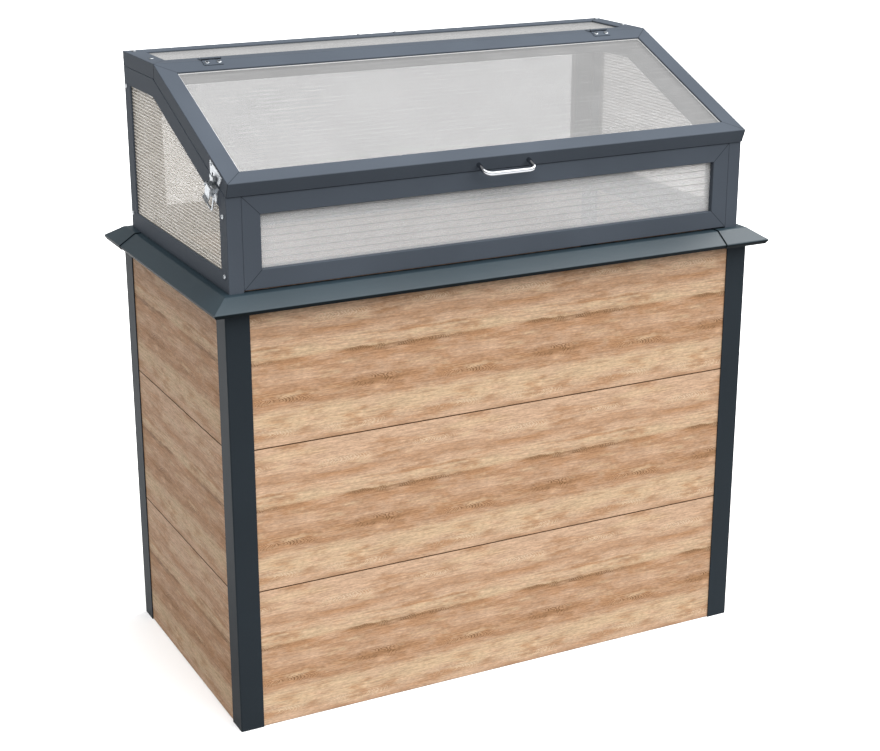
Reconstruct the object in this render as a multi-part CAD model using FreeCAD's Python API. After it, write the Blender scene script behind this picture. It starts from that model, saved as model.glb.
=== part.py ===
import FreeCAD, Part
import math
import os

# Bed: size over the corner posts, and the boards that fill its walls
bed_length = 1020.0
bed_depth = 530.0
board_rows = 3
board_height = 258.0
board_thickness = 16.0
board_wall = 1.4
board_cells = 4
tongue_width = 6.0
tongue_height = 8.0
seam_chamfer = 1.0
slide_gap = 0.2
board_end_gap = 0.5

# Corner posts: an extruded angle with a groove for each wall's boards
post_leg = 42.0
post_wall = 2.0
post_edge_radius = 2.5

# Rim: ledge, slope and return lip, and the caps over two of its corners
rim_overhang = 28.0
rim_drop = 20.0
rim_wall = 2.0
rim_lip = 8.0
rim_ledge = 12.0
rim_bend_radius = 5.0
rim_leg = 22.0
cap_leg = 92.0
cap_wall = 1.2

# Cold frame: where it stands on the rim and how high it rises
cold_inset = 14.0
front_height = 158.0
top_height = 323.0
top_depth = 171.0
frame_lift = 3.0

# Frame bars: a hollow extruded section with a pane groove
bar_face = 32.0
bar_depth = 26.0
bar_wall = 1.6
bar_edge_chamfer = 0.8
groove_depth = 10.0

# Twin-wall panes: set back a little from the outer face, and in the middle of the front and back bars
pane_thickness = 6.0
pane_setback = 3.0
pane_skin = 0.8
rib_pitch = 12.0
rib_wall = 0.7

# Lid
lid_gap = 1.0
crease_gap = 1.0
nose_overhang = 1.5

# Butt hinges at the ridge
hinge_spread = 784.0
hinge_length = 36.0
leaf_width = 16.0
leaf_start = 3.2
leaf_thickness = 1.2
leaf_corner = 1.5
knuckle_radius = 2.2
knuckle_rise = 0.5
knuckle_gap = 0.3
hinge_pin_radius = 1.1
running_gap = 0.05

# Wire pull on the lid's nose
handle_centres = 96.0
handle_reach = 30.0
handle_rod_radius = 4.0
handle_bend_radius = 13.0
handle_bend_steps = 2

# Draw latches on the two sides
latch_from_nose = 50.0
latch_sheet = 1.5
screw_hole_radius = 2.0
catch_top_width = 56.0
catch_bottom_width = 42.0
catch_margin = 3.0
hook_width = 15.0
hook_slot = 5.0
hook_reach = 7.5
hook_lip = 7.0
base_width = 36.0
base_margin = 2.5
ear_radius = 5.0
ear_gap = 0.7
pivot_out = 8.0
pivot_drop = 11.0
rivet_radius = 1.5
lever_width = 20.0
lever_length = 16.0
lever_tab = 6.0
lever_tab_out = 4.0
lever_skin_out = 2.2
loop_pivot_drop = 8.0
loop_pivot_in = 2.0
loop_wire_radius = 1.5
loop_bend_radius = 3.5
loop_bend_steps = 1
loop_side_gap = 2.0

# Worked out from the sizes above
groove_width = board_thickness + 2 * slide_gap
post_inner = post_wall + groove_width
post_back = post_inner + post_wall
wall_top = board_rows * board_height
board_out = post_wall + slide_gap
tongue_near = (board_thickness - tongue_width) / 2
tongue_far = (board_thickness + tongue_width) / 2
ledge_under = wall_top + tongue_height
ledge_top = ledge_under + rim_wall
half_length = bed_length / 2 - cold_inset
back_y = bed_depth / 2 - cold_inset
front_y = -back_y
front_top = ledge_top + front_height
ridge_y = back_y - top_depth
ridge_z = ledge_top + top_height
top_under = ridge_z - bar_depth
pane_low = pane_setback
pane_middle = (bar_depth - pane_thickness) / 2
pane_high = bar_depth - pane_setback - pane_thickness

# The lid's underside passes lid_gap above the front frame's top edge
run_y = ridge_y - front_y
run_z = ridge_z - front_top
slope = math.atan2(run_z, run_y) - math.asin((bar_depth + lid_gap) / math.hypot(run_y, run_z))
slope_sin = math.sin(slope)
slope_cos = math.cos(slope)
lid_start = crease_gap / 2 / slope_cos
lid_end = run_y * slope_cos + run_z * slope_sin + nose_overhang
bevel = bar_depth * math.tan(slope)
side_crease_y = ridge_y + bar_depth * math.tan(slope / 2) + lid_gap / slope_sin

V = FreeCAD.Vector
AXIS_X = V(1, 0, 0)
AXIS_Y = V(0, 1, 0)
AXIS_Z = V(0, 0, 1)
DOWN_SLOPE = V(0, -slope_cos, -slope_sin)
LID_NORMAL = V(0, -slope_sin, slope_cos)
RIDGE = V(0, ridge_y, ridge_z)


def rectangle(x0, y0, x1, y1):
    return [(x0, y0), (x1, y0), (x1, y1), (x0, y1)]


def rounded_wire(points):
    """A closed wire through the points, with a tangent arc where a point has a radius."""
    corners = []
    for i, point in enumerate(points):
        here = V(point[0], point[1], 0)
        radius = point[2] if len(point) > 2 else 0
        if radius == 0:
            corners.append((here, None, here))
            continue
        before = points[i - 1]
        after = points[(i + 1) % len(points)]
        to_before = (V(before[0], before[1], 0) - here).normalize()
        to_after = (V(after[0], after[1], 0) - here).normalize()
        half = to_before.getAngle(to_after) / 2
        run = radius / math.tan(half)
        bisector = (to_before + to_after).normalize()
        middle = here + bisector * (radius / math.sin(half) - radius)
        corners.append((here + to_before * run, middle, here + to_after * run))
    edges = []
    for i, (entry, middle, leave) in enumerate(corners):
        if middle is not None:
            edges.append(Part.Arc(entry, middle, leave).toShape())
        following = corners[(i + 1) % len(corners)][0]
        if leave.distanceToPoint(following) > 1e-6:
            edges.append(Part.makeLine(leave, following))
    return Part.Wire(edges)


def face(outline, holes=()):
    """A flat face in the XY plane, with holes."""
    wires = [rounded_wire(outline)] + [rounded_wire(hole) for hole in holes]
    return Part.makeFace(wires, "Part::FaceMakerBullseye")


def prism(outline, low, high, holes=()):
    solid = face(outline, holes).extrude(V(0, 0, high - low))
    solid.translate(V(0, 0, low))
    return solid


def rod(centre, axis, radius, length):
    """A round bar centred on a point."""
    return Part.makeCylinder(radius, length, centre - axis * (length / 2), axis)


def offset_path(points, distance):
    """The same path moved to its left by a distance, with its corners extended."""
    normals = []
    for (ax, ay), (bx, by) in zip(points, points[1:]):
        length = math.hypot(bx - ax, by - ay)
        normals.append((-(by - ay) / length, (bx - ax) / length))
    moved = [(points[0][0] + normals[0][0] * distance, points[0][1] + normals[0][1] * distance)]
    for point, first, second in zip(points[1:], normals, normals[1:]):
        share = distance / (1 + first[0] * second[0] + first[1] * second[1])
        moved.append((point[0] + (first[0] + second[0]) * share, point[1] + (first[1] + second[1]) * share))
    moved.append((points[-1][0] + normals[-1][0] * distance, points[-1][1] + normals[-1][1] * distance))
    return moved


def bent_strip(path, thickness, radius):
    """Closed outline of a sheet bent along a path, its thickness to the path's right."""
    inner = offset_path(path, -thickness)
    last = len(path) - 1
    outer_side = [(x, y, radius + thickness if 0 < i < last else 0) for i, (x, y) in enumerate(path)]
    inner_side = [(x, y, radius if 0 < i < last else 0) for i, (x, y) in enumerate(inner)]
    return outer_side + inner_side[::-1]


def bent_rod(path, rod_radius, bend_radius, steps):
    """A round rod along a flat path, each square corner turned in a few straight steps."""
    corners = [V(x, y, 0) for x, y in path]
    spine = [corners[0]]
    for before, here, after in zip(corners, corners[1:], corners[2:]):
        back = (before - here).normalize() * bend_radius
        ahead = (after - here).normalize() * bend_radius
        for step in range(steps + 1):
            angle = math.pi / 2 * step / steps
            spine.append(here + back * (1 - math.sin(angle)) + ahead * (1 - math.cos(angle)))
    spine.append(corners[-1])
    ring = Part.Wire(Part.makeCircle(rod_radius, spine[0], spine[1] - spine[0]))
    return Part.makePolygon(spine).makePipeShell([ring], True, False, 1)


def cut_corners(outline):
    """The outline with a corner cut straight where a point has a third value, at that distance from it."""
    cut = []
    for i, point in enumerate(outline):
        if len(point) == 2:
            cut.append(point)
            continue
        x, y, distance = point
        for beside in (outline[i - 1], outline[(i + 1) % len(outline)]):
            share = distance / math.hypot(beside[0] - x, beside[1] - y)
            cut.append((x + (beside[0] - x) * share, y + (beside[1] - y) * share))
    return cut


def inset(outline, distance):
    """The corners of a convex outline with every side moved inwards by a distance."""
    lines = []
    for i, (ax, ay) in enumerate(outline):
        bx, by = outline[(i + 1) % len(outline)]
        length = math.hypot(bx - ax, by - ay)
        nx = -(by - ay) / length
        ny = (bx - ax) / length
        lines.append((nx, ny, nx * ax + ny * ay + distance))
    corners = []
    for i, (nx, ny, reach) in enumerate(lines):
        mx, my, other = lines[i - 1]
        spread = mx * ny - nx * my
        corners.append(((other * ny - reach * my) / spread, (mx * reach - nx * other) / spread))
    return corners


def along_side(outline, side, section, extra):
    """A section run along one side of an outline, longer at both ends by extra.

    The section is drawn as (distance inwards from the side, height).
    """
    start = V(*outline[side], 0)
    end = V(*outline[(side + 1) % len(outline)], 0)
    length = start.distanceToPoint(end)
    along = (end - start).normalize()
    inward = AXIS_Z.cross(along)
    placed = section.copy()
    placed.Placement = FreeCAD.Placement(start - along * extra, FreeCAD.Rotation(inward, AXIS_Z, along))
    return placed.extrude(along * (length + 2 * extra))


def mitred_bar(outline, side, section, outward, inward, low, high):
    """A section run along one side of an outline, its ends cut on the corners' mitre lines."""
    outer = inset(outline, -outward)
    inner = inset(outline, inward)
    following = (side + 1) % len(outline)
    wedge = prism([outer[side], outer[following], inner[following], inner[side]], low, high)
    return along_side(outline, side, section, outward).common(wedge).Solids[0]


def place_on(origin, x_axis, y_axis):
    return FreeCAD.Placement(origin, FreeCAD.Rotation(x_axis, y_axis, x_axis.cross(y_axis)))


def moved(shape, placement):
    shape.Placement = placement.multiply(shape.Placement)
    return shape


def save(name, *shapes):
    shape = shapes[0] if len(shapes) == 1 else Part.makeCompound(list(shapes))
    shape.exportStep(os.path.join("parts", name + ".step"))
    saved.append(name)


# Corner posts

def corner_post(side_x, side_y):
    """Outer angle, a groove on each leg and a closed corner chamber."""
    legs = [
        (0, 0, post_edge_radius), (post_leg, 0), (post_leg, post_wall), (post_back, post_wall),
        (post_back, post_inner), (post_leg, post_inner), (post_leg, post_back), (post_back, post_back),
        (post_back, post_leg), (post_inner, post_leg), (post_inner, post_back), (post_wall, post_back),
        (post_wall, post_leg), (0, post_leg),
    ]
    chamber = rectangle(post_wall, post_wall, post_inner, post_inner)
    corner_x = side_x * bed_length / 2
    corner_y = side_y * bed_depth / 2

    def turned(points):
        return [(corner_x - side_x * p[0], corner_y - side_y * p[1], *p[2:]) for p in points]

    return prism(turned(legs), 0, wall_top, [turned(chamber)])


# Boards

def board_section(bottom):
    """Hollow tongue-and-groove board: outer skin, inner skin and cross webs."""
    top = bottom + board_height
    near = board_out
    far = board_out + board_thickness
    slot_top = bottom + tongue_height + slide_gap
    outline = [
        (near, bottom + seam_chamfer), (near + seam_chamfer, bottom), (near + tongue_near - slide_gap, bottom),
        (near + tongue_near - slide_gap, slot_top), (near + tongue_far + slide_gap, slot_top),
        (near + tongue_far + slide_gap, bottom), (far, bottom), (far, top),
        (near + tongue_far, top), (near + tongue_far, top + tongue_height),
        (near + tongue_near, top + tongue_height), (near + tongue_near, top),
        (near + seam_chamfer, top), (near, top - seam_chamfer),
    ]
    low = slot_top + board_wall
    pitch = (top - low) / board_cells
    cells = []
    for i in range(board_cells):
        cell_low = low + i * pitch
        cells.append(rectangle(near + board_wall, cell_low, far - board_wall, cell_low + pitch - board_wall))
    return face(outline, cells)


# Rim and corner caps

def rim_path(start):
    """Upper surface of the rim, from its inner side out over the bend to the end of the lip."""
    bend = (cold_inset - rim_ledge, ledge_top)
    tip = (-rim_overhang, ledge_top - rim_drop)
    fall = math.hypot(tip[0] - bend[0], tip[1] - bend[1])
    lip_in = rim_lip * rim_drop / fall
    lip_down = rim_lip * (bend[0] - tip[0]) / fall
    return [(start, ledge_top), bend, tip, (tip[0] + lip_in, tip[1] - lip_down)]


def rim_section():
    """Ledge with a locating rib beside the tongue and a leg inside the wall, slope and lip."""
    leg_near = post_back + slide_gap
    leg_far = leg_near + rim_wall
    rib_near = board_out + tongue_far + slide_gap
    inner, bend, tip, lip = rim_path(leg_far)
    under = offset_path([inner, bend, tip, lip], rim_wall)
    return face([
        inner, (*bend, rim_bend_radius), (*tip, rim_wall), lip, under[3], under[2],
        (*under[1], rim_bend_radius - rim_wall),
        (rib_near, ledge_under), (rib_near, wall_top + slide_gap),
        (rib_near + rim_wall, wall_top + slide_gap), (rib_near + rim_wall, ledge_under),
        (leg_near, ledge_under), (leg_near, ledge_under - rim_leg), (leg_far, ledge_under - rim_leg),
    ])


def cap_section():
    """Thin sheet lying on the rim from the cold frame's foot to the end of the lip."""
    start, bend, tip, lip = rim_path(cold_inset - slide_gap)
    over = offset_path([start, bend, tip, lip], -cap_wall)
    return face([
        start, (*bend, rim_bend_radius), (*tip, rim_wall), lip, over[3],
        (*over[2], rim_wall + cap_wall), (*over[1], rim_bend_radius + cap_wall), over[0],
    ])


def rim_bar(side, section):
    reach = rim_overhang + rim_lip + cap_wall
    return mitred_bar(bed_outline, side, section, reach, bed_depth / 4, 0, ledge_top + rim_drop)


def corner_cap():
    """The front right cap: two short lengths of the cap sheet joined on the corner's mitre."""
    section = cap_section()
    both = rim_bar(0, section).fuse(rim_bar(1, section))
    tip_x = bed_length / 2 + rim_overhang
    tip_y = -bed_depth / 2 - rim_overhang
    reach = rim_lip + cap_wall
    corner = prism(rectangle(tip_x - cap_leg, tip_y - reach, tip_x + reach, tip_y + cap_leg), 0, 2 * ledge_top)
    return both.common(corner).removeSplitter().Solids[0]


# Mitred frames and twin-wall panes

def bar_section(chamber_start, pane_place):
    """Hollow bar with chamfered edges and the pane groove on its inner edge."""
    low = pane_place - slide_gap
    high = pane_place + pane_thickness + slide_gap
    floor = bar_face - groove_depth
    edge = bar_edge_chamfer
    outline = [
        (0, edge), (edge, 0), (bar_face - edge, 0), (bar_face, edge), (bar_face, low), (floor, low),
        (floor, high), (bar_face, high), (bar_face, bar_depth - edge),
        (bar_face - edge, bar_depth), (edge, bar_depth), (0, bar_depth - edge),
    ]
    chamber = rectangle(chamber_start, bar_wall, floor - bar_wall, bar_depth - bar_wall)
    return face(outline, [chamber])


def twin_wall(outline):
    """Sheet with hollow cells running along X, cut to an outline."""
    across = [point[0] for point in outline]
    up = [point[1] for point in outline]
    low = min(up)
    high = max(up)
    count = int((high - low) / rib_pitch)
    first = (low + high - count * rib_pitch) / 2
    cells = []
    for i in range(count):
        cell_low = first + i * rib_pitch + rib_wall / 2
        cells.append(rectangle(cell_low, pane_skin, cell_low + rib_pitch - rib_wall, pane_thickness - pane_skin))
    section = face(rectangle(low - rib_pitch, 0, high + rib_pitch, pane_thickness), cells)
    section.Placement = place_on(V(min(across) - rib_pitch, 0, 0), AXIS_Y, AXIS_Z)
    sheet = section.extrude(AXIS_X * (max(across) - min(across) + 2 * rib_pitch))
    return sheet.common(prism(outline, -pane_thickness, 2 * pane_thickness)).Solids[0]


def framed_pane(outline, placement, pane_place, chamber_starts=None):
    """One bar for each side of the outline, and the pane held in their grooves at a height."""
    starts = chamber_starts or [bar_wall] * len(outline)
    bars = []
    for side, start in enumerate(starts):
        section = bar_section(start, pane_place)
        bar = mitred_bar(outline, side, section, bar_face, 1.2 * bar_face, -bar_depth, 2 * bar_depth)
        bars.append(moved(bar, placement))
    pane = twin_wall(inset(outline, bar_face - groove_depth + slide_gap))
    pane.translate(AXIS_Z * pane_place)
    return bars, moved(pane, placement)


# Hinges

def knuckle_spans(outer):
    """X ranges of the two outer knuckles, or of the middle one."""
    third = hinge_length / 3
    if outer:
        return [(-hinge_length / 2, third - knuckle_gap / 2), (hinge_length / 2 - third + knuckle_gap / 2,
                                                             third - knuckle_gap / 2)]
    return [(-third / 2 + knuckle_gap / 2, third - knuckle_gap)]


def hinge_leaf(drop, outer):
    """A leaf lying in the XY plane with its knuckles' axis along X, drop above the leaf's underside."""
    half = hinge_length / 2
    leaf_end = leaf_start + leaf_width
    plate = prism([
        (-half, leaf_start), (half, leaf_start), (half, leaf_end - leaf_corner), (half - leaf_corner, leaf_end),
        (leaf_corner - half, leaf_end), (-half, leaf_end - leaf_corner),
    ], 0, leaf_thickness)
    pieces = []
    for start, length in knuckle_spans(outer):
        foot = drop - knuckle_radius
        pieces.append(Part.makeCylinder(knuckle_radius, length, V(start, 0, drop), AXIS_X))
        pieces.append(Part.makeBox(length, leaf_start + leaf_thickness, leaf_thickness - foot, V(start, 0, foot)))
    bore = rod(V(0, 0, drop), AXIS_X, hinge_pin_radius + running_gap, 2 * hinge_length)
    return plate.multiFuse(pieces).cut(bore).removeSplitter().Solids[0]


# Draw latch, drawn with X down the slope, Y along the lid's normal and Z outwards

def across_latch(outline, start, length, holes=()):
    """An outline drawn as (normal, outwards), run along the slope."""
    section = face(outline, holes)
    section.Placement = place_on(V(start, 0, 0), AXIS_Y, AXIS_Z)
    return section.extrude(AXIS_X * length)


def latch_catch():
    """Tapered plate on the lid's side with a hook turned out and up between two slots."""
    top = -catch_margin
    bottom = -bar_depth + catch_margin
    plate = prism(cut_corners([
        (-catch_bottom_width / 2, bottom), (catch_bottom_width / 2, bottom),
        (catch_top_width / 2, top, latch_sheet), (-catch_top_width / 2, top, latch_sheet),
    ]), 0, latch_sheet)
    path = [(bottom + hook_lip, 0), (bottom, 0), (bottom, hook_reach), (bottom + hook_lip, hook_reach)]
    hook = across_latch(bent_strip(path, latch_sheet, 0), -hook_width / 2, hook_width)
    hole_y = top - 2 * screw_hole_radius
    holes = []
    for side in (-1, 1):
        hole_x = side * (catch_top_width / 2 - 3.5 * screw_hole_radius)
        holes.append(rod(V(hole_x, hole_y, 0), AXIS_Z, screw_hole_radius, 4 * latch_sheet))
    slot_side = hook_width / 2 + hook_slot
    trimmed = plate.cut(prism(rectangle(-slot_side, bottom, slot_side, bottom + hook_lip), 0, latch_sheet))
    return trimmed.fuse(hook).cut(Part.makeCompound(holes)).removeSplitter().Solids[0]


def latch_base():
    """Plate on the slope rail with two ears and the rivet that the lever turns on."""
    top = rail_top - base_margin
    bottom = rail_top - bar_face + base_margin
    ear_flat = ear_radius * math.tan(math.pi / 8)
    plate = prism(rectangle(-base_width / 2, bottom, base_width / 2, top), 0, latch_sheet)
    ear = [
        (pivot_n - ear_radius, 0), (pivot_n + ear_radius, 0), (pivot_n + ear_radius, pivot_out + ear_flat),
        (pivot_n + ear_flat, pivot_out + ear_radius), (pivot_n - ear_flat, pivot_out + ear_radius),
        (pivot_n - ear_radius, pivot_out + ear_flat),
    ]
    left_ear = across_latch(ear, -ear_out, latch_sheet)
    right_ear = across_latch(ear, ear_out - latch_sheet, latch_sheet)
    rivet = rod(V(0, pivot_n, pivot_out), AXIS_X, rivet_radius, 2 * ear_out)
    return plate.multiFuse([left_ear, right_ear, rivet]).removeSplitter().Solids[0]


def latch_lever():
    """Channel-shaped lever: outer skin with a finger tab, and two cheeks with the pivot holes."""
    skin = pivot_out + lever_skin_out
    top = pivot_n + ear_radius - 1.0
    end = pivot_n - lever_length
    path = [(end - lever_tab, skin + latch_sheet + lever_tab_out), (end, skin + latch_sheet), (top, skin + latch_sheet)]
    cover = across_latch(bent_strip(path, latch_sheet, latch_sheet), -lever_width / 2, lever_width)
    cheek = cut_corners([
        (top, skin), (top, pivot_out - rivet_radius * 2, rivet_radius),
        (loop_pivot_n - 2 * loop_wire_radius, loop_pivot_out - 2 * loop_wire_radius, loop_wire_radius),
        (end + lever_tab, skin),
    ])
    left_cheek = across_latch(cheek, -lever_width / 2, latch_sheet)
    right_cheek = across_latch(cheek, lever_width / 2 - latch_sheet, latch_sheet)
    pivot_bore = rod(V(0, pivot_n, pivot_out), AXIS_X, rivet_radius + running_gap, 2 * lever_width)
    loop_bore = rod(V(0, loop_pivot_n, loop_pivot_out), AXIS_X, loop_wire_radius + running_gap, 2 * lever_width)
    whole = cover.multiFuse([left_cheek, right_cheek])
    return whole.cut(Part.makeCompound([pivot_bore, loop_bore])).removeSplitter().Solids[0]


def latch_loop():
    """Bent wire loop that hangs from the lever, long enough to reach into the catch's hook."""
    inner = lever_width / 2 - latch_sheet - loop_wire_radius / 2
    outer = ear_out + loop_side_gap + loop_wire_radius
    seat_n = -bar_depth + catch_margin + latch_sheet + loop_wire_radius
    seat_out = hook_reach / 2
    reach = math.hypot(seat_n - loop_pivot_n, seat_out - loop_pivot_out)
    path = [(-inner, 0), (-outer, 0), (-outer, -reach), (outer, -reach), (outer, 0), (inner, 0)]
    loop = bent_rod(path, loop_wire_radius, loop_bend_radius, loop_bend_steps)
    loop.translate(V(0, loop_pivot_n, loop_pivot_out))
    return loop


os.makedirs("parts", exist_ok=True)
saved = []

# Bed
bed_outline = rectangle(-bed_length / 2, -bed_depth / 2, bed_length / 2, bed_depth / 2)
wall_names = ["front", "right", "back", "left"]
for end_name, end_sign in (("front", -1), ("back", 1)):
    for side_name, side_sign in (("left", -1), ("right", 1)):
        save(f"post_{end_name}_{side_name}", corner_post(side_sign, end_sign))

row_names = ["lower", "middle", "upper"]
for row in range(board_rows):
    section = board_section(row * board_height)
    row_name = row_names[row] if row < len(row_names) else f"row_{row + 1}"
    for side, wall_name in enumerate(wall_names):
        board = along_side(bed_outline, side, section, -(post_back + board_end_gap))
        save(f"board_{wall_name}_{row_name}", board)

section = rim_section()
for side, wall_name in enumerate(wall_names):
    save(f"rim_{wall_name}", rim_bar(side, section))
front_right_cap = corner_cap()
back_left_cap = front_right_cap.copy()
back_left_cap.rotate(V(0, 0, 0), AXIS_Z, 180)
save("rim_corner_caps", front_right_cap, back_left_cap)

# Fixed frames
side_outline = [
    (front_y, ledge_top), (back_y, ledge_top), (back_y, top_under), (side_crease_y, top_under),
    (front_y, front_top),
]
bar_names = ["bottom_rail", "back_stile", "top_rail", "slope_rail", "front_stile"]
for side_name, low_x, pane_place in (
    ("left", -half_length, pane_low), ("right", half_length - bar_depth, pane_high),
):
    bars, pane = framed_pane(side_outline, place_on(V(low_x, 0, 0), AXIS_Y, AXIS_Z), pane_place)
    for bar_name, bar in zip(bar_names, bars):
        save(f"{side_name}_{bar_name}", bar)
    save(f"pane_{side_name}", pane)

between = half_length - bar_depth
front_outline = rectangle(-between, ledge_top + frame_lift, between, front_top)
bars, pane = framed_pane(front_outline, place_on(V(0, front_y + bar_depth, 0), AXIS_X, AXIS_Z), pane_middle)
for bar_name, bar in zip(["bottom_rail", "right_stile", "top_rail", "left_stile"], bars):
    save(f"front_{bar_name}", bar)
save("pane_front", pane)

back_outline = rectangle(-between, ledge_top + frame_lift, between, top_under)
bars, pane = framed_pane(back_outline, place_on(V(0, back_y, 0), AXIS_X, AXIS_Z), pane_middle)
save("back_frame_rails", bars[0], bars[2])
save("back_frame_stiles", bars[1], bars[3])
save("pane_back", pane)

top_outline = rectangle(-half_length, ridge_y + crease_gap / 2, half_length, back_y)
bars, pane = framed_pane(top_outline, place_on(V(0, 0, top_under), AXIS_X, AXIS_Y), pane_high)
save("top_frame_rails", bars[0], bars[2])
save("top_frame_ends", bars[1], bars[3])
save("pane_top", pane)

# Lid: its upper end is cut upright, clear of the top frame
lid_outline = rectangle(-half_length, -lid_end, half_length, -lid_start)
lid_place = place_on(RIDGE - LID_NORMAL * bar_depth, AXIS_X, -DOWN_SLOPE)
chamber_starts = [bar_wall, bar_wall, bevel + bar_wall, bar_wall]
bars, pane = framed_pane(lid_outline, lid_place, pane_high, chamber_starts)
behind_crease = Part.makeBox(
    2 * bed_length, bed_depth, 2 * bar_depth,
    V(-bed_length, ridge_y - crease_gap / 2, ridge_z - 1.5 * bar_depth),
)
for bar_name, bar in zip(["nose_rail", "right_stile", "top_rail", "left_stile"], bars):
    save(f"lid_{bar_name}", bar.cut(behind_crease).Solids[0])
save("pane_lid", pane)

# Hinges
hinge_z = ridge_z + knuckle_radius + knuckle_rise
hinge_axis = V(0, ridge_y, hinge_z)
lid_drop = (knuckle_radius + knuckle_rise) * slope_cos
lid_leaves = []
frame_leaves = []
pins = []
for side in (-1, 1):
    at = hinge_axis + AXIS_X * (side * hinge_spread / 2)
    lid_leaf = hinge_leaf(lid_drop, False)
    lid_leaves.append(moved(lid_leaf, place_on(at - LID_NORMAL * lid_drop, -AXIS_X, DOWN_SLOPE)))
    frame_leaf = hinge_leaf(hinge_z - ridge_z, True)
    frame_leaves.append(moved(frame_leaf, place_on(at - AXIS_Z * (hinge_z - ridge_z), AXIS_X, AXIS_Y)))
    pins.append(rod(at, AXIS_X, hinge_pin_radius, hinge_length))
save("hinge_lid_leaves", *lid_leaves)
save("hinge_frame_leaves", *frame_leaves)
save("hinge_pins", *pins)

# Handle
half_grip = handle_centres / 2
grip_path = [(-half_grip, 0), (-half_grip, handle_reach), (half_grip, handle_reach), (half_grip, 0)]
nose = RIDGE + DOWN_SLOPE * lid_end - LID_NORMAL * (bar_depth / 2)
handle = bent_rod(grip_path, handle_rod_radius, handle_bend_radius, handle_bend_steps)
save("handle", moved(handle, place_on(nose, AXIS_X, DOWN_SLOPE)))

# Latches: places along the lid's normal, measured from the lid's upper face
rail_top = -bar_depth - lid_gap
pivot_n = rail_top - pivot_drop
loop_pivot_n = pivot_n - loop_pivot_drop
loop_pivot_out = pivot_out - loop_pivot_in
ear_out = lever_width / 2 + ear_gap + latch_sheet
latch_origin = RIDGE + DOWN_SLOPE * (lid_end - latch_from_nose) - AXIS_X * half_length
left_latch = place_on(latch_origin, DOWN_SLOPE, LID_NORMAL)


def latch_pair(shape):
    left = moved(shape, left_latch)
    return left, left.mirror(V(0, 0, 0), AXIS_X)


save("latch_catches", *latch_pair(latch_catch()))
save("latch_bases", *latch_pair(latch_base()))
for name, shape in (("latch_lever", latch_lever()), ("latch_loop", latch_loop())):
    for side_name, piece in zip(("left", "right"), latch_pair(shape)):
        save(f"{name}_{side_name}", piece)

lever_pivot = left_latch.multVec(V(0, pivot_n, pivot_out))
loop_pivot = left_latch.multVec(V(0, loop_pivot_n, loop_pivot_out))
print(len(saved), "nodes")
print("lid slope in degrees", round(math.degrees(slope), 3))
print("lid hinge axis along X through", hinge_axis)
print("left lever pivot", lever_pivot, "left loop pivot", loop_pivot, "along", -DOWN_SLOPE)
print("ledge top", ledge_top, "front top", front_top, "ridge", ridge_y, ridge_z, "lid end", round(lid_end, 2))
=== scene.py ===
# %% [markdown]
# A raised bed with a cold frame: four walls of wood-look boards between dark corner posts, a sloped
# metal rim, and on it a grey frame glazed with ribbed twin-wall sheet, with a hinged lid.
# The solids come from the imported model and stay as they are. This lesson gives every surface its
# finish, adds the small hardware that is too fine for the solids, and sets light and camera.

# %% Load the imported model
import math

import bpy
from mathutils import Matrix, Vector


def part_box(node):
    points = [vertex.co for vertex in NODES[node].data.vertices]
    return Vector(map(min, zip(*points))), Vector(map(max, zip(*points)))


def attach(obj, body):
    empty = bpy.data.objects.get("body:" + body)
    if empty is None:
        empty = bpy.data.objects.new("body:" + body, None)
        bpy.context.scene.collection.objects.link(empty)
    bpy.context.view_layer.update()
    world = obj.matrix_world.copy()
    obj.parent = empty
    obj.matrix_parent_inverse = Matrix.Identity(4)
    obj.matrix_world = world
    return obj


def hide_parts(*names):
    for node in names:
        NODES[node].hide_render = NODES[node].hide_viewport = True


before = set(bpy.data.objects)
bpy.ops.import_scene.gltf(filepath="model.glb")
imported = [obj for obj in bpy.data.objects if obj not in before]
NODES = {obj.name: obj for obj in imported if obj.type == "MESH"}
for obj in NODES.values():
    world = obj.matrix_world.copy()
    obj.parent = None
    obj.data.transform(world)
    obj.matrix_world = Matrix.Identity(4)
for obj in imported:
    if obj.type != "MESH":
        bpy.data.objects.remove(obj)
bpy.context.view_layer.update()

MM = 0.001

# %% [markdown]
# Sizes and directions are read from the model, so that nothing has to be fitted by eye.
# A node's reach along any direction is the least and greatest dot product of its points with it,
# and the lid's own direction is the normal of its pane's largest face.

# %% Measure the lid's directions
def reach(node, axis):
    """Least and greatest distance of a node's points along a direction."""
    along = [point.co.dot(axis) for point in NODES[node].data.vertices]
    return min(along), max(along)


ACROSS = Vector((1, 0, 0))
DEPTH = Vector((0, 1, 0))
UP = Vector((0, 0, 1))
lid_normal = max(NODES["pane_lid"].data.polygons, key=lambda face: face.area).normal.copy()
if lid_normal.z < 0:
    lid_normal.negate()
down_slope = Vector((0, -lid_normal.z, lid_normal.y))
print("lid slope", round(math.degrees(math.asin(-lid_normal.y)), 2))

# %% [markdown]
# A finish is a small network of nodes ahead of one Principled shader. Nodes could be placed one by one,
# but the recipes read better with helpers: add a node and fill or link its sockets, do a sum, stretch
# a range, draw noise, pick from a ramp and mix two colours.
# Colours are written as they are read on a screen and turned into linear light here.

# %% Helpers for nodes
def light(code):
    """Linear colour from a six-digit screen colour."""
    channels = [int(code[i:i + 2], 16) / 255 for i in (0, 2, 4)]
    linear = [c / 12.92 if c <= 0.04045 else ((c + 0.055) / 1.055) ** 2.4 for c in channels]
    return (*linear, 1.0)


def fill(tree, node, sockets):
    """Fills a node's sockets: each takes a value or another node's output."""
    for key, value in sockets.items():
        if isinstance(value, bpy.types.NodeSocket):
            tree.links.new(value, node.inputs[key])
        else:
            node.inputs[key].default_value = value


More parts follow.
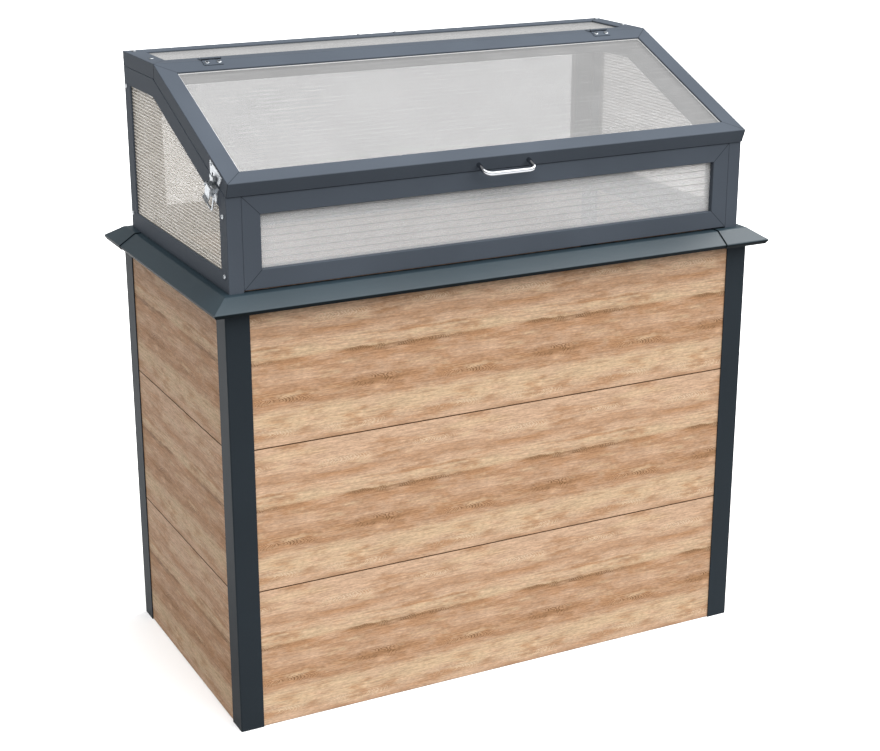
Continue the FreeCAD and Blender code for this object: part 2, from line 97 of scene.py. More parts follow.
def add(tree, kind, sockets, **settings):
    """A new node with its settings and sockets."""
    made = tree.nodes.new(kind)
    for key, value in settings.items():
        setattr(made, key, value)
    fill(tree, made, sockets)
    return made


def calc(tree, operation, first, second=0.0, third=0.0):
    """One sum with up to three terms."""
    return add(tree, "ShaderNodeMath", {0: first, 1: second, 2: third}, operation=operation).outputs[0]


def rescale(tree, value, from_low, from_high, to_low=0.0, to_high=1.0):
    """A value stretched softly from one range to another, and held at the ends."""
    sockets = {0: value, 1: from_low, 2: from_high, 3: to_low, 4: to_high}
    return add(tree, "ShaderNodeMapRange", sockets, interpolation_type="SMOOTHSTEP").outputs[0]


def measure(tree, place, axis):
    """Distance of a place along a direction."""
    made = add(tree, "ShaderNodeVectorMath", {0: place, 1: axis}, operation="DOT_PRODUCT")
    return made.outputs["Value"]


def noise(tree, place, scale, detail=2.0, rough=0.5, shift=0.0):
    """Grey noise between 0 and 1 at a scale given for each axis, in cycles per metre."""
    sockets = {"Vector": place, "Scale": scale, "Location": (shift, shift, shift)}
    stretched = add(tree, "ShaderNodeMapping", sockets).outputs[0]
    sockets = {"Vector": stretched, "Scale": 1.0, "Detail": detail, "Roughness": rough}
    return add(tree, "ShaderNodeTexNoise", sockets).outputs[0]


def ramp(tree, factor, stops):
    """Colour picked from stops given as (position, screen colour)."""
    made = add(tree, "ShaderNodeValToRGB", {0: factor})
    elements = made.color_ramp.elements
    elements[0].position, elements[0].color = stops[0][0], light(stops[0][1])
    elements[1].position, elements[1].color = stops[-1][0], light(stops[-1][1])
    for position, code in stops[1:-1]:
        elements.new(position).color = light(code)
    return made.outputs[0]


def blend(tree, factor, first, second, mode="MIX"):
    """Two colours mixed by a factor."""
    sockets = {0: factor, 6: first, 7: second}
    return add(tree, "ShaderNodeMix", sockets, data_type="RGBA", blend_type=mode).outputs[2]


# %% Helpers for finishes
def new_finish(name):
    """An empty finish: the material, its tree, its shader and Object coordinates."""
    material = bpy.data.materials.new(name)
    material.use_nodes = True
    tree = material.node_tree
    shader = tree.nodes["Principled BSDF"]
    return material, tree, shader, add(tree, "ShaderNodeTexCoord", {}).outputs["Object"]


def bump(tree, shader, height, depth):
    """Fine relief on a shader, as deep as a distance."""
    made = add(tree, "ShaderNodeBump", {"Height": height, "Distance": depth, "Strength": 1.0})
    fill(tree, shader, {"Normal": made.outputs[0]})


def paint(material, *nodes):
    """Gives CAD nodes a finish through their material slots."""
    for node in nodes:
        slots = NODES[node].material_slots
        if not slots:
            NODES[node].data.materials.append(material)
        for slot in slots:
            slot.material = material


# %% [markdown]
# The boards are hollow sections with a printed oak decor. A printing roller repeats its picture along
# the board, and every board carries the same one: pale and brown bands, a few darker streaks with a
# sharp upper edge, and rows of slanted ticks. Plain noise would never repeat, and a picture would need
# a file. So the length is wrapped round a circle as long as the repeat, which lets noise close on
# itself, and streaks and ticks are drawn at places along that circle.

# %% Tones, bands and marks of the print
front_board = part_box("board_front_lower")
board_low = front_board[0].z
board_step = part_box("board_front_middle")[0].z - board_low
REPEAT = 350 * MM
PALE, TAN, ROSE, BROWN, DARK = "c4a98a", "c2a287", "ae8a6d", "a8805f", "7f5f42"
# A band has its height as a share of the board, and its tone.
BANDS = [
    (0.00, ROSE), (0.04, TAN), (0.14, PALE), (0.22, PALE), (0.27, ROSE), (0.34, BROWN), (0.38, ROSE),
    (0.46, ROSE), (0.57, BROWN), (0.60, PALE), (0.65, PALE), (0.69, TAN), (0.76, ROSE), (0.83, TAN),
    (1.00, TAN),
]
# A cloud has its tone, the noise where it starts and where it is full, and a shift of the noise.
CLOUDS = [(TAN, 0.42, 0.66, 5.0), (BROWN, 0.47, 0.68, 9.0), (PALE, 0.52, 0.72, 13.0)]
# A streak has its middle along the repeat, its height, its reach along the repeat, its soft edge above
# and below, its tone and its strength.
STREAKS = [
    (0.45, 0.583, 0.47, 0.008, 0.040, DARK, 0.60), (0.30, 0.350, 0.30, 0.018, 0.080, BROWN, 0.90),
    (0.31, 0.345, 0.17, 0.014, 0.026, DARK, 0.55), (0.80, 0.310, 0.26, 0.014, 0.050, BROWN, 0.70),
    (0.10, 0.745, 0.24, 0.018, 0.055, BROWN, 0.80), (0.60, 0.668, 0.45, 0.007, 0.016, BROWN, 0.80),
    (0.36, 0.815, 0.11, 0.012, 0.040, BROWN, 0.80), (0.72, 0.800, 0.15, 0.010, 0.026, BROWN, 0.55),
    (0.70, 0.085, 0.26, 0.010, 0.036, BROWN, 0.65), (0.22, 0.065, 0.20, 0.008, 0.024, BROWN, 0.60),
    (0.85, 0.470, 0.24, 0.040, 0.050, TAN, 0.70), (0.50, 0.520, 0.20, 0.020, 0.040, BROWN, 0.50),
    (0.85, 0.930, 0.26, 0.040, 0.050, PALE, 0.70), (0.55, 0.190, 0.30, 0.050, 0.060, PALE, 0.70),
]
# A row of ticks has its middle along the repeat, its height, its reach along the repeat, its spread to
# both sides and its strokes in one repeat.
DARK_TICKS = [
    (0.45, 0.574, 0.46, 0.022, 70), (0.31, 0.350, 0.17, 0.055, 42),
    (0.82, 0.305, 0.22, 0.035, 55),
]
PALE_TICKS = [
    (0.20, 0.065, 0.28, 0.035, 60), (0.75, 0.090, 0.18, 0.035, 52),
    (0.15, 0.830, 0.22, 0.040, 58), (0.60, 0.860, 0.20, 0.035, 64),
]
board_length = front_board[1].x - front_board[0].x
print("print repeats", round(board_length / REPEAT, 1), "times on a long board")

# %% Places on the printing roller
# A wave has its noise scale, its detail and how far it bends the grain, as a share of the board.
GRAIN_WAVES = [((9.0, 9.0, 14.0), 1.0, 0.035), ((26.0, 26.0, 150.0), 4.0, 0.060)]
WOOD_ROUGHNESS = 0.65


def roller_spot(tree, turns, rise):
    """Place on the roller, which comes round to itself after one repeat."""
    angle = calc(tree, "MULTIPLY", turns, 2 * math.pi)
    radius = REPEAT / (2 * math.pi)
    return add(tree, "ShaderNodeCombineXYZ", {
        0: calc(tree, "MULTIPLY", calc(tree, "COSINE", angle), radius),
        1: calc(tree, "MULTIPLY", calc(tree, "SINE", angle), radius),
        2: calc(tree, "MULTIPLY", rise, board_step),
    }).outputs[0]


def wandering_grain(tree, roller, rise):
    """Height on the board, bent by a slow and a fine wave."""
    for scale, detail, amount in GRAIN_WAVES:
        wave = calc(tree, "SUBTRACT", noise(tree, roller, scale, detail, WOOD_ROUGHNESS), 0.5)
        rise = calc(tree, "MULTIPLY_ADD", wave, amount, rise)
    return rise


def near_middle(tree, turns, centre, reach_along):
    """1 around a place along the repeat, falling to 0 at a reach on both sides."""
    away = calc(tree, "PINGPONG", calc(tree, "SUBTRACT", turns, centre), 0.5)
    return rescale(tree, away, reach_along, 0.3 * reach_along)


# %% Bands, clouds and streaks
CLOUD_SCALE = (14.0, 14.0, 60.0)
CLOUD_STRENGTH = 0.75


def wood_tones(tree, roller, turns, grain):
    """Colour of the print before its fibres and ticks."""
    colour = ramp(tree, grain, BANDS)
    for tone, low, high, shift in CLOUDS:
        cloud = noise(tree, roller, CLOUD_SCALE, 4.0, WOOD_ROUGHNESS, shift)
        colour = blend(tree, rescale(tree, cloud, low, high, 0.0, CLOUD_STRENGTH), colour, light(tone))
    for centre, level, reach_along, above, below, tone, strength in STREAKS:
        away = calc(tree, "SUBTRACT", grain, level)
        upper = rescale(tree, away, above, 0.0)
        lower = rescale(tree, away, -below, 0.0, 0.0, strength)
        mask = calc(tree, "MULTIPLY", upper, lower)
        mask = calc(tree, "MULTIPLY", mask, near_middle(tree, turns, centre, reach_along))
        colour = blend(tree, mask, colour, light(tone))
    return colour


# %% Slanted ticks
# The lean is along the grain for each step away from the streak, and the wobble is in radians.
TICK_LEAN = 1.2
TICK_WOBBLE = 17.0
WOBBLE_SCALE = (60.0, 60.0, 130.0)
PATCH_SCALE = (30.0, 30.0, 40.0)
# Rows at different heights take their noise from different places.
WOBBLE_SHIFT = 40
PATCH_SHIFT = 25


def slanted_ticks(tree, roller, turns, grain, level, spread, count):
    """Short strokes that lean along the grain from both sides of a streak, in patches."""
    away = calc(tree, "ABSOLUTE", calc(tree, "SUBTRACT", grain, level))
    lean = calc(tree, "MULTIPLY_ADD", away, TICK_LEAN * board_step / REPEAT, turns)
    wobble = noise(tree, roller, WOBBLE_SCALE, 3.0, 0.6, level * WOBBLE_SHIFT)
    strokes_along = calc(tree, "MULTIPLY", lean, 2 * math.pi * count)
    phase = calc(tree, "MULTIPLY_ADD", wobble, TICK_WOBBLE, strokes_along)
    strokes = rescale(tree, calc(tree, "SINE", phase), 0.0, 0.9)
    streak = rescale(tree, away, spread, spread * 0.2)
    patch = rescale(tree, noise(tree, roller, PATCH_SCALE, 2.0, 0.6, level * PATCH_SHIFT), 0.36, 0.50)
    return calc(tree, "MULTIPLY", calc(tree, "MULTIPLY", strokes, streak), patch)


# %% Oak decor on the boards
FIBRE_SCALE = (22.0, 22.0, 420.0)
FIBRE_SHADES = (0.80, 1.17)
SPECK_SCALE = (130.0, 130.0, 480.0)
SPECK_SHADES = (0.86, 1.13)
TICK_TONES = ((DARK_TICKS, "5f442c", 0.80), (PALE_TICKS, "d8c4a8", 0.60))
# Painted shade in the grooves between boards: a dark brown tone near each seam.
SEAM_SHADE_TONE = "4a3524"
# The painted shade fades in: it starts at its first distance and is full at its second.
SEAM_SHADE_FADE = (1.5 * MM, 0.7 * MM)
PRINT_RELIEF = 0.08 * MM


def oak_decor(name, along):
    """Printed wood decor with its grain along one axis."""
    material, tree, shader, place = new_finish(name)
    parts = add(tree, "ShaderNodeSeparateXYZ", {0: place}).outputs
    turns = calc(tree, "DIVIDE", parts[along], REPEAT)
    boards_up = calc(tree, "DIVIDE", calc(tree, "SUBTRACT", parts["Z"], board_low), board_step)
    rise = calc(tree, "FRACT", boards_up)
    roller = roller_spot(tree, turns, rise)
    grain = wandering_grain(tree, roller, rise)
    colour = wood_tones(tree, roller, turns, grain)
    fibre = rescale(tree, noise(tree, roller, FIBRE_SCALE, 4.0, 0.7), 0.3, 0.7, *FIBRE_SHADES)
    speck = rescale(tree, noise(tree, roller, SPECK_SCALE, 3.0, 0.6), 0.3, 0.7, *SPECK_SHADES)
    fine = calc(tree, "MULTIPLY", fibre, speck)
    colour = blend(tree, 1.0, colour, fine, "MULTIPLY")
    for ticks, code, strength in TICK_TONES:
        for centre, level, reach_along, spread, count in ticks:
            strokes = slanted_ticks(tree, roller, turns, grain, level, spread, count)
            mask = calc(tree, "MULTIPLY", strokes, near_middle(tree, turns, centre, reach_along))
            colour = blend(tree, calc(tree, "MULTIPLY", mask, strength), colour, light(code))
    # Painted shade: the print darkens towards each seam, where the groove between boards lies in shade.
    from_seam = calc(tree, "MULTIPLY", calc(tree, "PINGPONG", rise, 0.5), board_step)
    colour = blend(tree, rescale(tree, from_seam, *SEAM_SHADE_FADE), colour, light(SEAM_SHADE_TONE))
    fill(tree, shader, {
        "Base Color": colour,
        "Roughness": rescale(tree, fibre, *FIBRE_SHADES, 0.62, 0.48),
        "Specular IOR Level": 0.05,
    })
    bump(tree, shader, fine, PRINT_RELIEF)
    return material


oak_along_front = oak_decor("oak_decor_front", "X")
oak_along_side = oak_decor("oak_decor_side", "Y")
for row in ("lower", "middle", "upper"):
    paint(oak_along_front, f"board_front_{row}", f"board_back_{row}")
    paint(oak_along_side, f"board_left_{row}", f"board_right_{row}")
print("boards every", round(board_step, 4))

# %% [markdown]
# Posts, rim and frames are powder-coated metal. Powder melts into a skin with a very fine orange peel,
# so the coat has a little bump, a little change of gloss, and slow clouds of lighter and darker grey.
# Frame bars meet on mitres; where two of them touch, a hairline stays darker. A plain colour would do
# from afar, but it looks like plastic when the light grazes it.

# %% Powder coat
COAT_CLOUDS = (5.0, 5.0, 5.0)
ORANGE_PEEL = (900.0, 900.0, 900.0)
PEEL_RELIEF = 0.03 * MM
HAIRLINE_AND_SHADE_DEPTH = 0.75


def powder_coat(name, code, roughness, specular, dark=None, varnish=0.0):
    """A coat; dark(tree, place) gives 1 where its colour is darkened and its varnish gives out."""
    material, tree, shader, place = new_finish(name)
    clouds = noise(tree, place, COAT_CLOUDS)
    peel = noise(tree, place, ORANGE_PEEL)
    shade = rescale(tree, clouds, 0.25, 0.75, 0.92, 1.08)
    shade = calc(tree, "MULTIPLY", shade, rescale(tree, peel, 0.2, 0.8, 0.96, 1.04))
    # The mask darkens the coat: dark hairlines on the mitres, and painted shade on the rim, where the
    # varnish is taken off too.
    if dark:
        mask = dark(tree, place)
        shade = calc(tree, "MULTIPLY", shade, calc(tree, "MULTIPLY_ADD", mask, -HAIRLINE_AND_SHADE_DEPTH, 1.0))
        if varnish:
            varnished = calc(tree, "MULTIPLY_ADD", mask, -varnish, varnish)
            fill(tree, shader, {"Coat Weight": varnished, "Coat Roughness": roughness})
    fill(tree, shader, {
        "Base Color": blend(tree, 1.0, light(code), shade, "MULTIPLY"),
        "Roughness": calc(tree, "MULTIPLY_ADD", calc(tree, "SUBTRACT", clouds, 0.5), 0.12, roughness),
        "Specular IOR Level": specular,
    })
    bump(tree, shader, peel, PEEL_RELIEF)
    return material


# %% Hairlines on the mitres
HAIRLINE = 1.0 * MM


def from_edge(tree, place, axis, low, high):
    """Distance inwards from the nearer of two edges that lie across a direction."""
    along = measure(tree, place, axis)
    middle = calc(tree, "ABSOLUTE", calc(tree, "SUBTRACT", along, (low + high) / 2))
    return calc(tree, "SUBTRACT", (high - low) / 2, middle)


def span(nodes, axis):
    """Least and greatest distance of several nodes along a direction."""
    reaches = [reach(node, axis) for node in nodes]
    return min(low for low, high in reaches), max(high for low, high in reaches)


def mitre_seam(first, second, nodes):
    """Hairlines on the corner diagonals of a rectangular frame lying along two directions."""
    first_span = span(nodes, first)
    second_span = span(nodes, second)

    def seam(tree, place):
        inward = from_edge(tree, place, first, *first_span)
        upward = from_edge(tree, place, second, *second_span)
        apart = calc(tree, "ABSOLUTE", calc(tree, "SUBTRACT", inward, upward))
        return rescale(tree, apart, HAIRLINE, 0.2 * HAIRLINE)

    return seam


# %% Coats on the frames
# A coat has its colour, its roughness and its specular level.
frame_coat = ("474d55", 0.50, 0.02)
front_bars = [f"front_{bar}" for bar in ("bottom_rail", "right_stile", "top_rail", "left_stile")]
lid_bars = [f"lid_{bar}" for bar in ("nose_rail", "right_stile", "top_rail", "left_stile")]
back_bars = ["back_frame_rails", "back_frame_stiles"]
top_bars = ["top_frame_rails", "top_frame_ends"]
sides = ("left", "right")
side_bars = [
    f"{side}_{bar}"
    for side in sides
    for bar in ("bottom_rail", "back_stile", "top_rail", "slope_rail", "front_stile")
]
for name, upwards, nodes in (
    ("front_frame_coat", UP, front_bars),
    ("back_frame_coat", UP, back_bars),
    ("top_frame_coat", DEPTH, top_bars),
    ("lid_frame_coat", down_slope, lid_bars),
):
    paint(powder_coat(name, *frame_coat, mitre_seam(ACROSS, upwards, nodes)), *nodes)
paint(powder_coat("side_frame_coat", *frame_coat), *side_bars, "hinge_lid_leaves", "hinge_frame_leaves")
print("frame coats on", len(front_bars + lid_bars + back_bars + top_bars + side_bars))

# %% [markdown]
# The posts and the rim have a darker coat. The rim is a folded sheet with a cap over two of its corners.
# The fold at its lower edge lies in shade, and a dark line shows where each cap ends. Both could be left
# to the shadows, but soft studio light fills them, so the coat itself is darkened along them as painted
# shade, and its varnish is taken off there too. The rest of the rim is varnished, which gives it a sheen
# towards the light.

# %% Coats on the posts and the rim
CAP_LINE = 2.0 * MM
LIP_FADE = (2.5 * MM, 0.5 * MM)
EDGE_SLACK = 2 * MM
post_nodes = [f"post_{end}_{side}" for end in ("front", "back") for side in sides]
paint(powder_coat("post_coat", "252b30", 0.5, 0.05), *post_nodes)

rim_nodes = [f"rim_{wall}" for wall in ("front", "right", "back", "left")]
front_right_cap = [point.co for point in NODES["rim_corner_caps"].data.vertices if point.co.x > 0]
cap_start_x = min(point.x for point in front_right_cap)
cap_end_y = max(point.y for point in front_right_cap)
rim_edge = reach("rim_front", DEPTH)[0]
rim_points = [point.co for point in NODES["rim_front"].data.vertices]
lip_top = min(point.z for point in rim_points if point.y < rim_edge + EDGE_SLACK)


# Painted shade: the cap-end lines and the folded lip are darkened because they lie in shade.
def rim_shade(tree, place):
    """1 on the lines where the two caps end, which are alike after half a turn, and on the folded lip."""
    x, y, z = add(tree, "ShaderNodeSeparateXYZ", {0: place}).outputs
    along_front = calc(tree, "MULTIPLY_ADD", x, calc(tree, "SIGN", y), cap_start_x)
    along_side = calc(tree, "MULTIPLY_ADD", y, calc(tree, "SIGN", x), -cap_end_y)
    apart = calc(tree, "MINIMUM", calc(tree, "ABSOLUTE", along_front), calc(tree, "ABSOLUTE", along_side))
    lip = rescale(tree, calc(tree, "SUBTRACT", z, lip_top), *LIP_FADE)
    return calc(tree, "MAXIMUM", rescale(tree, apart, CAP_LINE, 0.4 * CAP_LINE), lip)


rim_coat = powder_coat("rim_coat", "26333a", 0.40, 0.02, dark=rim_shade, varnish=0.6)
paint(rim_coat, *rim_nodes, "rim_corner_caps")
print("caps end at", round(cap_start_x, 3), round(cap_end_y, 3), "lip at", round(lip_top, 4))

# %% [markdown]
# Twin-wall sheet is two thin skins joined by ribs. The solids already hold the hollow cells, so the
# finish only has to be hazy: each face of a skin hides a share of what lies behind, and four faces in a
# row make a pane. Ribs are seen on edge, so along each of them the outer skin is drawn denser: as a
# painted highlight on the sides, where both edges of a rib would catch the light, a little darker in
# front, and in faint dashes on top. The sheet is alike in every pane, but its tones are set pane by pane
# as painted light and shade: darker on the lid and top, lighter in front and warm on the sides. The ribs'
# own walls are kept almost clear, or they would be counted twice. Light that runs inside the sheet comes
# out along its border, and this is painted as a highlight: the lid's pane has a bright edge.

# %% Lines along the ribs
RIB_PITCH = 12 * MM
ROUNDING = 1e-4
LINE_WIDTH = 0.07
LINE_CORE = 0.02
DASH_SCALE = (18.0, 70.0, 70.0)
EDGE_FADE = (2.6 * MM, 1.4 * MM)


def rib_lines(tree, place, node, rib_axis, lines):
    """1 on lines along the ribs, with a number of lines to each rib."""
    low, high = reach(node, rib_axis)
    count = int((high - low) / RIB_PITCH + ROUNDING)
    first = (low + high - count * RIB_PITCH) / 2
    from_first = calc(tree, "SUBTRACT", measure(tree, place, rib_axis), first)
    away = calc(tree, "PINGPONG", calc(tree, "DIVIDE", from_first, RIB_PITCH / lines), 0.5)
    return rescale(tree, away, LINE_WIDTH * (1 + lines), LINE_CORE * (1 + lines))


def dashes(tree, place, broken):
    """1 on dashes and less between them, by the share that is broken away."""
    return rescale(tree, noise(tree, place, DASH_SCALE, 3.0, 0.6), 0.42, 0.58, 1.0 - broken, 1.0)


# Painted highlight: the lid pane's border is drawn white and denser beside its four bars.
def lit_edge(tree, place, rib_axis, bars):
    """1 beside four bars: left, right, and the first and the last along rib_axis."""
    left, right, start, end = bars
    across = from_edge(tree, place, ACROSS, reach(left, ACROSS)[1], reach(right, ACROSS)[0])
    beside = from_edge(tree, place, rib_axis, reach(start, rib_axis)[1], reach(end, rib_axis)[0])
    return rescale(tree, calc(tree, "MINIMUM", across, beside), *EDGE_FADE)


# %% Twin-wall sheet in the panes
SKIN_FADE = (2.5 * MM, 1.5 * MM)
RIB_WALL_FADE = (1.0 * MM, 1.3 * MM)
RIB_WALL_CLEAR = 0.85
LINE_SHARE = 0.86
SHEET_CLOUDS = (11.0, 11.0, 11.0)
EDGE_HIGHLIGHT_WHITE = 0.7
EDGE_HIGHLIGHT_DENSITY = 0.5
LINE_RELIEF = 0.05 * MM


def twin_wall(node, outward, rib_axis, between, on_rib, haze, rib_haze, bars=None, lines=1, broken=0.0):
    """Hazy sheet whose ribs lie square to rib_axis; haze is the share that one face hides.

    With four bars, the edge beside them gets a painted highlight. Each rib has a number of lines, broken
    into dashes by a share.
    """
    material, tree, shader, place = new_finish(f"sheet_{node}")
    inside, outside = reach(node, outward)
    skin = rescale(tree, calc(tree, "SUBTRACT", outside, measure(tree, place, outward)), *SKIN_FADE)
    line = calc(tree, "MULTIPLY", rib_lines(tree, place, node, rib_axis, lines), skin)
    line = calc(tree, "MULTIPLY", line, dashes(tree, place, broken))
    clouds = noise(tree, place, SHEET_CLOUDS, 3.0)
    cloud_share = rescale(tree, clouds, 0.3, 0.7, 0.0, 1.0 - LINE_SHARE)
    level = calc(tree, "MULTIPLY_ADD", line, LINE_SHARE, cloud_share)
    colour = ramp(tree, level, [(0.0, between), (1.0, on_rib)])
    density = rescale(tree, line, 0.0, 1.0, haze, rib_haze)
    rib_wall = rescale(tree, from_edge(tree, place, outward, inside, outside), *RIB_WALL_FADE)
    density = calc(tree, "MULTIPLY", density, calc(tree, "MULTIPLY_ADD", rib_wall, -RIB_WALL_CLEAR, 1.0))
    # Painted highlight along the pane's border, white and denser.
    if bars:
        edge = calc(tree, "MULTIPLY", lit_edge(tree, place, rib_axis, bars), skin)
        colour = blend(tree, calc(tree, "MULTIPLY", edge, EDGE_HIGHLIGHT_WHITE), colour, light("ffffff"))
        density = calc(tree, "MAXIMUM", density, calc(tree, "MULTIPLY", edge, EDGE_HIGHLIGHT_DENSITY))
    fill(tree, shader, {
        "Base Color": colour,
        "Alpha": density,
        "Roughness": rescale(tree, clouds, 0.2, 0.8, 0.28, 0.40),
        "Specular IOR Level": 0.3,
    })
    bump(tree, shader, line, LINE_RELIEF * (1.0 - broken))
    paint(material, node)


# The sheet is alike in every pane, but its tones and rib lines are set pane by pane as painted light and
# shade; the bright lines on the sides are painted highlights.
twin_wall("pane_left", -ACROSS, UP, "cfc5b7", "fbf6ec", 0.28, 0.72, lines=2)
twin_wall("pane_right", ACROSS, UP, "cfc5b7", "fbf6ec", 0.28, 0.72, lines=2)
twin_wall("pane_front", -DEPTH, UP, "e4e4e4", "b4b4b4", 0.28, 0.56)
twin_wall("pane_back", DEPTH, UP, "d2d2d2", "cccccc", 0.24, 0.28)
twin_wall("pane_top", UP, DEPTH, "aeaeae", "b8b8b8", 0.34, 0.36, broken=0.85)
lid_edge = ("lid_left_stile", "lid_right_stile", "lid_top_rail", "lid_nose_rail")
twin_wall("pane_lid", lid_normal, down_slope, "929292", "a6a6a6", 0.30, 0.34, bars=lid_edge, broken=0.85)
print("panes with ribs every", RIB_PITCH)

# %% [markdown]
# Latches, hinge pins and screws are zinc plated. Zinc freezes in flat crystals, each with its own
# brightness, which a cell texture gives; the pull is chrome with faint wiping marks in its gloss.

# %% Zinc and chrome
ZINC_TONES = [(0.0, "868a8e"), (0.5, "9da1a5"), (1.0, "b6b9bc")]
CRYSTALS_PER_METRE = 420.0
CHROME_TONES = [(0.0, "9c9ea2"), (1.0, "b2b4b8")]
WIPING_SCALE = (30.0, 600.0, 600.0)


def zinc_plate(name):
    """Bright zinc in small flat crystals."""
    material, tree, shader, place = new_finish(name)
    sockets = {"Vector": place, "Scale": CRYSTALS_PER_METRE}
    crystals = add(tree, "ShaderNodeTexVoronoi", sockets).outputs["Color"]
    grey = add(tree, "ShaderNodeSeparateColor", {0: crystals}).outputs[0]
    fill(tree, shader, {
        "Base Color": ramp(tree, grey, ZINC_TONES),
        "Roughness": rescale(tree, grey, 0.0, 1.0, 0.28, 0.46),
        "Metallic": 1.0,
    })
    return material


def bright_chrome(name):
    """Polished chrome with faint wiping marks along the pull."""
    material, tree, shader, place = new_finish(name)
    wiped = noise(tree, place, WIPING_SCALE, 3.0)
    fill(tree, shader, {
        "Base Color": ramp(tree, wiped, CHROME_TONES),
        "Roughness": rescale(tree, wiped, 0.3, 0.7, 0.02, 0.05),
        "Metallic": 1.0,
    })
    return material


zinc = zinc_plate("zinc_plate")
chrome = bright_chrome("bright_chrome")
zinc_nodes = [f"latch_{piece}_{side}" for piece in ("lever", "loop") for side in sides]
zinc_nodes += ["latch_catches", "latch_bases", "hinge_pins"]
paint(zinc, *zinc_nodes)
print("zinc on", len(zinc_nodes), "nodes")

# %% [markdown]
# The pull on the lid's nose is one bent wire. A curve with a bevel would also give it, but by hand it is
# a ring that is pushed along each leg and spun round each bend, so its bends are truly round. It stands
# where the plain solid stands.

# %% Bending a wire
WIRE_SIDES = 24
BEND_STEPS = 10
MERGE = 0.001 * MM
SMOOTH_ANGLE = math.radians(35)


def finish_mesh(piece):
    """Merged, facing outwards, closed at its ends, and smooth where it is round."""
    bpy.ops.mesh.select_all(action="SELECT")
    bpy.ops.mesh.remove_doubles(threshold=MERGE)
    bpy.ops.mesh.fill_holes(sides=0)
    bpy.ops.mesh.normals_make_consistent(inside=False)
    bpy.ops.object.mode_set(mode="OBJECT")
    bpy.ops.object.transform_apply(location=True, rotation=True, scale=True)
    bpy.ops.object.shade_smooth_by_angle(angle=SMOOTH_ANGLE)
    return piece


def bend_wire(name, radius, start, heading, moves):
    """A round wire in the XY plane from runs (a length) and turns (a bend radius and an angle)."""
    bpy.ops.object.select_all(action="DESELECT")
    tilt = (math.pi / 2, 0, heading + math.pi / 2)
    bpy.ops.mesh.primitive_circle_add(
        vertices=WIRE_SIDES,
        radius=radius,
        location=(*start, 0),
        rotation=tilt,
    )
    piece = bpy.context.active_object
    piece.name = name
    bpy.ops.object.mode_set(mode="EDIT")
    bpy.ops.mesh.select_all(action="SELECT")
    spot = Vector((*start, 0))
    for move in moves:
        ahead = Vector((math.cos(heading), math.sin(heading), 0))
        if isinstance(move, tuple):
            bend, angle = move
            side = math.copysign(1, angle)
            centre = spot + Vector((-ahead.y, ahead.x, 0)) * bend * side
            bpy.ops.mesh.spin(steps=BEND_STEPS, angle=-angle, center=centre, axis=(0, 0, 1))
            spot = centre + Matrix.Rotation(angle, 3, "Z") @ (spot - centre)
            heading += angle
        else:
            bpy.ops.mesh.extrude_region_move(TRANSFORM_OT_translate={"value": ahead * move})
            spot += ahead * move
    return finish_mesh(piece)


def set_on(piece, origin, x_axis, y_axis):
    """Moves a piece's mesh from the XY plane to its place on the model."""
    turn = Matrix((x_axis, y_axis, x_axis.cross(y_axis))).transposed()
    piece.data.transform(Matrix.Translation(origin) @ turn.to_4x4())
    piece.data.update()


# %% Chrome wire pull
PULL_RADIUS = 4 * MM
PULL_BEND = 13 * MM
foot, grip_end = reach("handle", down_slope)
grip_left, grip_right = reach("handle", ACROSS)
half_grip = (grip_right - grip_left) / 2 - PULL_RADIUS
leg = grip_end - foot - PULL_RADIUS - PULL_BEND
grip = 2 * (half_grip - PULL_BEND)
turn = (PULL_BEND, -math.pi / 2)
pull = bend_wire("pull_wire", PULL_RADIUS, (-half_grip, 0), math.pi / 2, [leg, turn, grip, turn, leg])
set_on(pull, down_slope * foot + lid_normal * sum(reach("handle", lid_normal)) / 2, ACROSS, down_slope)
pull.data.materials.append(chrome)
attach(pull, "lid")
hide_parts("handle")
print("pull", [round(v, 4) for v in pull.dimensions])

# %% [markdown]
# Each draw latch has a wire loop that hangs from its lever. It is bent like the pull, but it starts and
# ends inside the lever's cheeks, turns down on both sides and closes below.

# %% Wire loops of the latches
LOOP_RADIUS = 1.5 * MM
LOOP_BEND = 3.5 * MM
LOOP_END = 7.75 * MM
quarter = (LOOP_BEND, math.pi / 2)
for side in sides:
    node = f"latch_loop_{side}"
    slope_low, slope_high = reach(node, down_slope)
    below, above = reach(node, lid_normal)
    half = (slope_high - slope_low) / 2 - LOOP_RADIUS
    hang = above - below - 2 * LOOP_RADIUS
    stub = half - LOOP_END - LOOP_BEND
    arm = hang - 2 * LOOP_BEND
    moves = [stub, quarter, arm, quarter, 2 * (half - LOOP_BEND), quarter, arm, quarter, stub]
    loop = bend_wire(f"loop_wire_{side}", LOOP_RADIUS, (-LOOP_END, 0), math.pi, moves)
    middle = down_slope * (slope_low + slope_high) / 2 + lid_normal * (above - LOOP_RADIUS)
    set_on(loop, middle + ACROSS * sum(reach(node, ACROSS)) / 2, down_slope, lid_normal)
    loop.data.materials.append(zinc)
    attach(loop, f"loop_{side}")
    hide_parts(node)
    print(loop.name, [round(v, 4) for v in loop.dimensions])

# %% [markdown]
# Screws hold the frames and catches, and hollow rivets the hinges. They are too small for the solids, so
# they are added here. One head is turned from a disc: its rim is rounded, and a six-sided socket is cut
# with a Boolean, or a rivet's round bore, which goes right through. Copies of it are set on each seat,
# facing out of the surface.

# %% One head
HEAD_SIDES = 32
HEAD_ROUNDING = 0.6
HOLE_SHARE = 0.5


